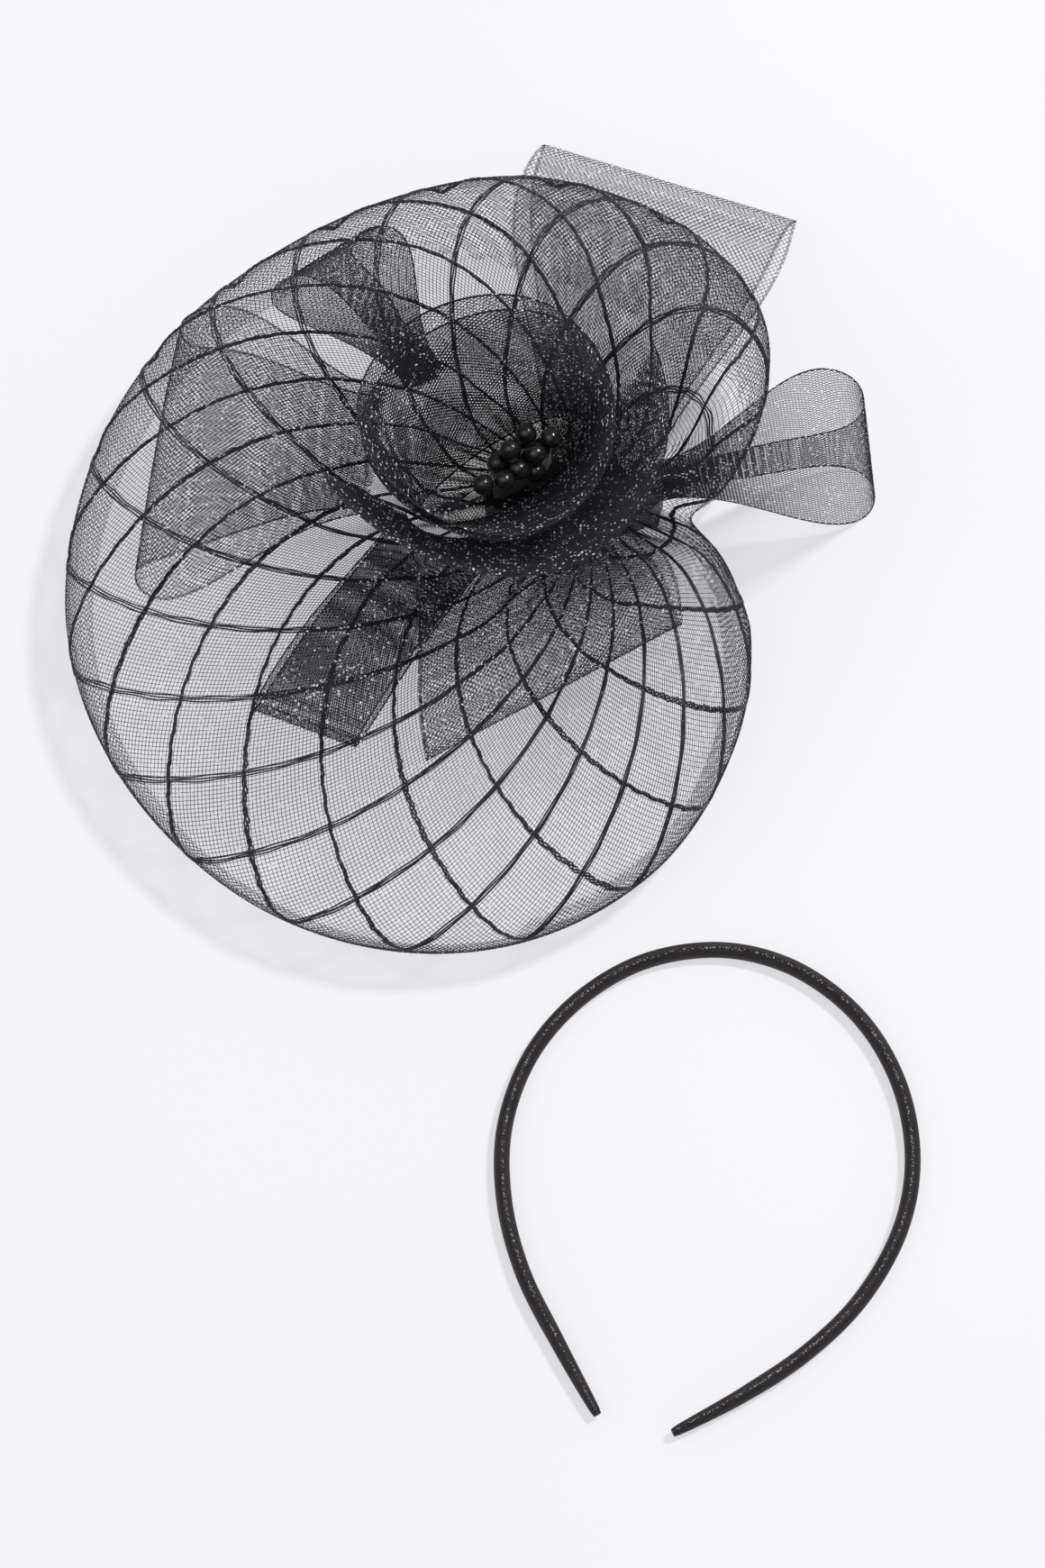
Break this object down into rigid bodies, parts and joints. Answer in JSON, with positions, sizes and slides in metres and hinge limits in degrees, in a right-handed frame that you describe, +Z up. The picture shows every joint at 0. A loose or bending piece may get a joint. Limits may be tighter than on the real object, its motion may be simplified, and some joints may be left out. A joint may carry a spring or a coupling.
{
  "type": "fascinator",
  "caption": "Sheer black fascinator: puffed windowpane-net disc with a standing ribbon swirl, ribbon loops, a bead cluster and a hidden clip base, and its own slim headband lying beside it.",
  "frame": {"origin": "middle of the base's flat underside, on the floor", "axes": "+Z up, -Y towards the viewer and the headband, +X to the viewer's right"},
  "size_m": [0.2397, 0.3899, 0.1125],
  "materials": {
    "windowpane_crin": "sheer stiff net with thicker cords in a square grid",
    "crin_ribbon": "sheer glossy diamond net",
    "bead": "high gloss",
    "felt": "matt felt",
    "satin": "satin"
  },
  "bodies": {
    "root": {"disc": "windowpane_crin", "swirl_inner": "crin_ribbon", "swirl_outer": "crin_ribbon", "loop_left": "crin_ribbon", "loop_lower_left": "crin_ribbon", "front_roll": "crin_ribbon", "loop_back": "crin_ribbon", "loop_upper_left": "crin_ribbon", "loop_right": "crin_ribbon", "bead_1": "bead", "bead_2": "bead", "bead_3": "bead", "bead_4": "bead", "bead_5": "bead", "bead_6": "bead", "bead_7": "bead", "bead_8": "bead", "bead_9": "bead", "bead_10": "bead", "base": "felt", "headband": "satin"}
  },
  "joints": []
}
